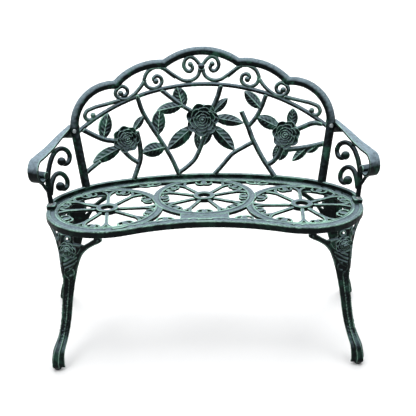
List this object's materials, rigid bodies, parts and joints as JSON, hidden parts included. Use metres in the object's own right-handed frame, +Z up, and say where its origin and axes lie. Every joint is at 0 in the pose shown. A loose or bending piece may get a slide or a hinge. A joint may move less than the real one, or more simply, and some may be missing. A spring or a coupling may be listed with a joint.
{
  "type": "garden bench",
  "caption": "Two-seat cast metal garden bench with a pierced kidney-shaped seat, bowed back with scrolls, roses and leafy branches, strap arms and four cabriole legs.",
  "frame": {"origin": "on the ground, under the middle of the bench's box", "axes": "+Z up, +X along the seat, front of the bench towards -Y"},
  "size_m": [1.02, 0.5465, 0.8454],
  "materials": {
    "patinated_casting": "cast aluminium, dark bronze-green paint rubbed with pale verdigris on the raised edges",
    "steel_fastener": "zinc-plated steel",
    "foot_plastic": "black plastic glide"
  },
  "bodies": {
    "root": {"arm_foot_bolts": "steel_fastener", "arm_foot_nuts": "steel_fastener", "arm_foot_washers": "steel_fastener", "arm_scroll_left": "patinated_casting", "arm_scroll_right": "patinated_casting", "arm_strap_left": "patinated_casting", "arm_strap_right": "patinated_casting", "arm_top_bolts": "steel_fastener", "arm_top_nuts": "steel_fastener", "back_arch": "patinated_casting", "back_hoop": "patinated_casting", "base_rail": "patinated_casting", "centre_left_spray": "patinated_casting", "centre_right_spray": "patinated_casting", "centre_stem": "patinated_casting", "crest_ball": "patinated_casting", "crest_scroll_left": "patinated_casting", "crest_scroll_right": "patinated_casting", "crest_tail_left": "patinated_casting", "crest_tail_right": "patinated_casting", "foot_glides": "foot_plastic", "front_leg_left": "patinated_casting", "front_leg_right": "patinated_casting", "front_leg_rose_left": "patinated_casting", "front_leg_rose_right": "patinated_casting", "hook_scroll_left": "patinated_casting", "hook_scroll_right": "patinated_casting", "large_scroll_left": "patinated_casting", "large_scroll_right": "patinated_casting", "left_branch": "patinated_casting", "left_lower_spray": "patinated_casting", "left_stub": "patinated_casting", "left_upper_spray": "patinated_casting", "leg_bolts": "steel_fastener", "rail_screws": "steel_fastener", "rear_leg_left": "patinated_casting", "rear_leg_right": "patinated_casting", "rear_leg_rose_left": "patinated_casting", "rear_leg_rose_right": "patinated_casting", "right_branch": "patinated_casting", "right_lower_spray": "patinated_casting", "right_lower_stem": "patinated_casting", "right_upper_spray": "patinated_casting", "rose_centre": "patinated_casting", "rose_left": "patinated_casting", "rose_right": "patinated_casting", "seat_back_sprig_left": "patinated_casting", "seat_back_sprig_right": "patinated_casting", "seat_front_sprig_left": "patinated_casting", "seat_front_sprig_right": "patinated_casting", "seat_front_web": "patinated_casting", "seat_rim": "patinated_casting", "seat_ring_centre": "patinated_casting", "seat_ring_left": "patinated_casting", "seat_ring_right": "patinated_casting", "seat_rosette_centre": "patinated_casting", "seat_rosette_left": "patinated_casting", "seat_rosette_right": "patinated_casting", "small_scroll_left": "patinated_casting", "small_scroll_right": "patinated_casting"}
  },
  "joints": []
}
